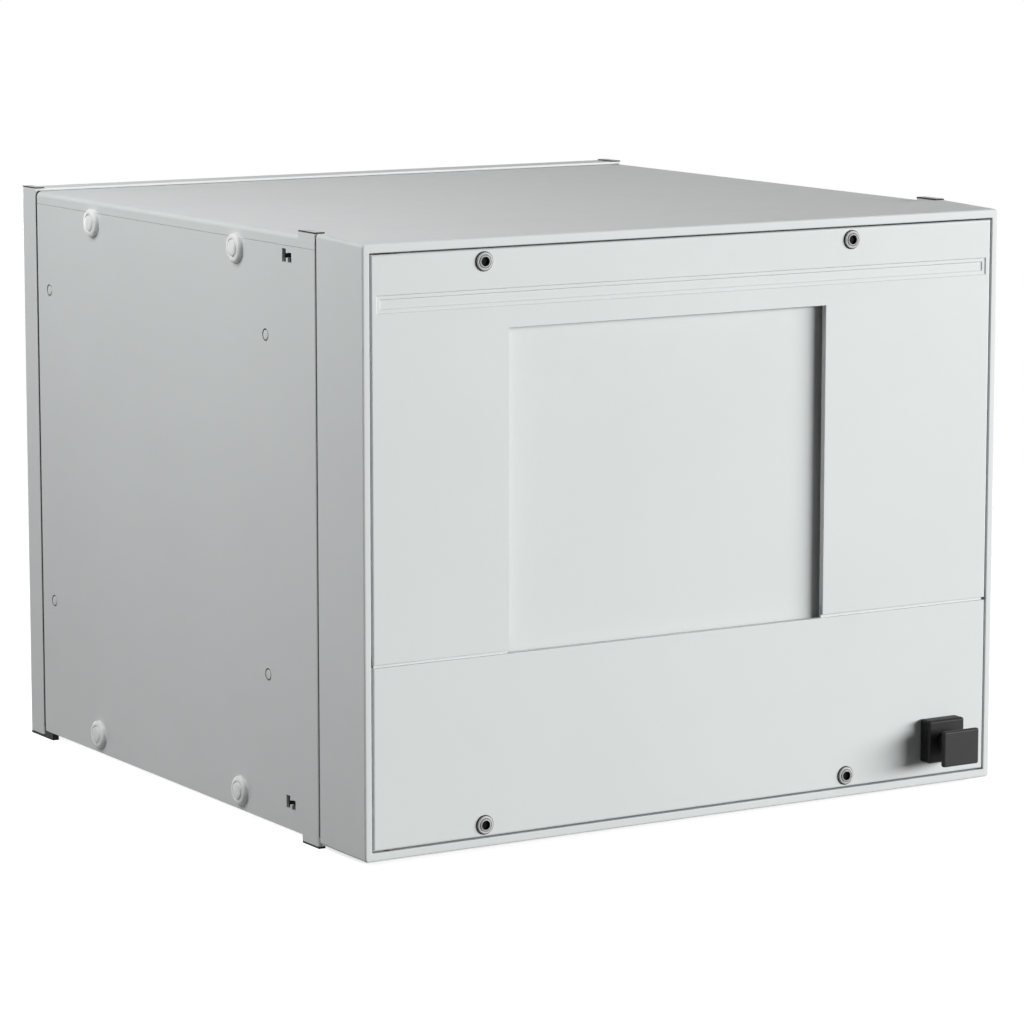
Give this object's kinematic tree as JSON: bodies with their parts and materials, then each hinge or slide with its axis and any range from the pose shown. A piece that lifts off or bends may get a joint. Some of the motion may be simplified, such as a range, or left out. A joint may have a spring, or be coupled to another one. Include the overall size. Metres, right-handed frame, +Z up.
{
  "type": "reflow oven",
  "caption": "Bench reflow oven: a grey sheet-metal case with a hinged insulated door, quarter-turn latch knob, heated chamber with rack, and electronics bay.",
  "frame": {"origin": "on the surface the oven stands on, under the middle of its bounding box", "axes": "+X to the right of someone facing the door, +Y from the door to the back, +Z up"},
  "size_m": [0.508, 0.567, 0.4028],
  "materials": {
    "light_paint": "fine textured powder paint, light grey, satin",
    "white_plastic": "smooth off-white plastic",
    "dark_plastic": "dark grey moulded plastic",
    "black_plastic": "black moulded plastic, soft sheen",
    "zinc_sheet": "zinc coated sheet",
    "bright_steel": "bright turned steel",
    "black_steel": "blackened steel",
    "stainless": "brushed stainless sheet",
    "quartz": "milky quartz tube",
    "ceramic": "off-white ceramic",
    "mineral_wool": "pressed fibre board",
    "silicone": "heat resistant silicone, dull red",
    "circuit_board": "green solder resist",
    "brass": "machined brass"
  },
  "bodies": {
    "case": {"front_frame": "light_paint", "corner_posts": "zinc_sheet", "corner_caps": "dark_plastic", "corner_feet": "dark_plastic", "rear_screws": "bright_steel", "base_plate": "zinc_sheet", "bay_shelf": "zinc_sheet", "side_panel_left": "light_paint", "side_panel_right": "light_paint", "side_plugs": "white_plastic", "side_rivets": "light_paint", "frame_clips": "black_plastic", "top_panel": "light_paint", "rear_cover": "light_paint", "front_bulkhead": "zinc_sheet", "door_seal": "silicone", "chamber_floor": "stainless", "chamber_roof": "stainless", "chamber_left_wall": "stainless", "chamber_right_wall": "stainless", "chamber_rear_wall": "stainless", "insulation_slabs": "mineral_wool", "insulation_sides": "mineral_wool", "insulation_rear": "mineral_wool", "heater_rods": "quartz", "heater_holders": "ceramic", "rack_runners": "stainless", "board_rack": "stainless", "fan_baffle": "stainless", "fan_motor": "bright_steel", "motor_bracket": "zinc_sheet", "thermocouple": "bright_steel", "exhaust_spigot": "stainless", "power_supply": "zinc_sheet", "solid_state_relay": "black_plastic", "control_board": "circuit_board", "board_standoffs": "bright_steel", "power_inlet": "black_plastic", "switch_body": "black_plastic", "data_socket": "black_plastic", "cooling_fan_frame": "black_plastic", "fan_guard": "bright_steel", "hinge_pins": "bright_steel"},
    "door": {"door_upper_panel": "light_paint", "door_lower_panel": "light_paint", "window_blank": "light_paint", "door_pan": "zinc_sheet", "door_insulation": "mineral_wool", "door_screws": "black_steel", "door_washers": "bright_steel", "door_nuts": "bright_steel", "hinge_blocks": "brass", "knob_base": "black_plastic"},
    "latch": {"latch_knob": "black_plastic", "latch_spindle": "bright_steel", "latch_cam": "bright_steel"},
    "convection_wheel": {"convection_fan": "stainless", "fan_shaft": "bright_steel"},
    "cooling_wheel": {"cooling_rotor": "black_plastic"},
    "switch_rocker": {"power_rocker": "black_plastic"}
  },
  "joints": [
    {"name": "door_swing", "type": "hinge", "parent": "case", "child": "door", "pos_m": [-0.232, -0.2505, 0.2], "axis": [0, 0, -1], "range_deg": [0, 120]},
    {"name": "latch_turn", "type": "hinge", "parent": "door", "child": "latch", "pos_m": [0.2046, -0.2555, 0.0354], "axis": [0, 1, 0], "range_deg": [0, 90]},
    {"name": "convection_spin", "type": "hinge", "parent": "case", "child": "convection_wheel", "pos_m": [0, 0.1, 0.259], "axis": [0, 1, 0], "continuous": true},
    {"name": "cooling_spin", "type": "hinge", "parent": "case", "child": "cooling_wheel", "pos_m": [-0.15, 0.229, 0.066], "axis": [0, 1, 0], "continuous": true},
    {"name": "rocker_tip", "type": "hinge", "parent": "case", "child": "switch_rocker", "pos_m": [0.135, 0.2435, 0.05], "axis": [-1, 0, 0], "range_deg": [0, 16]}
  ]
}
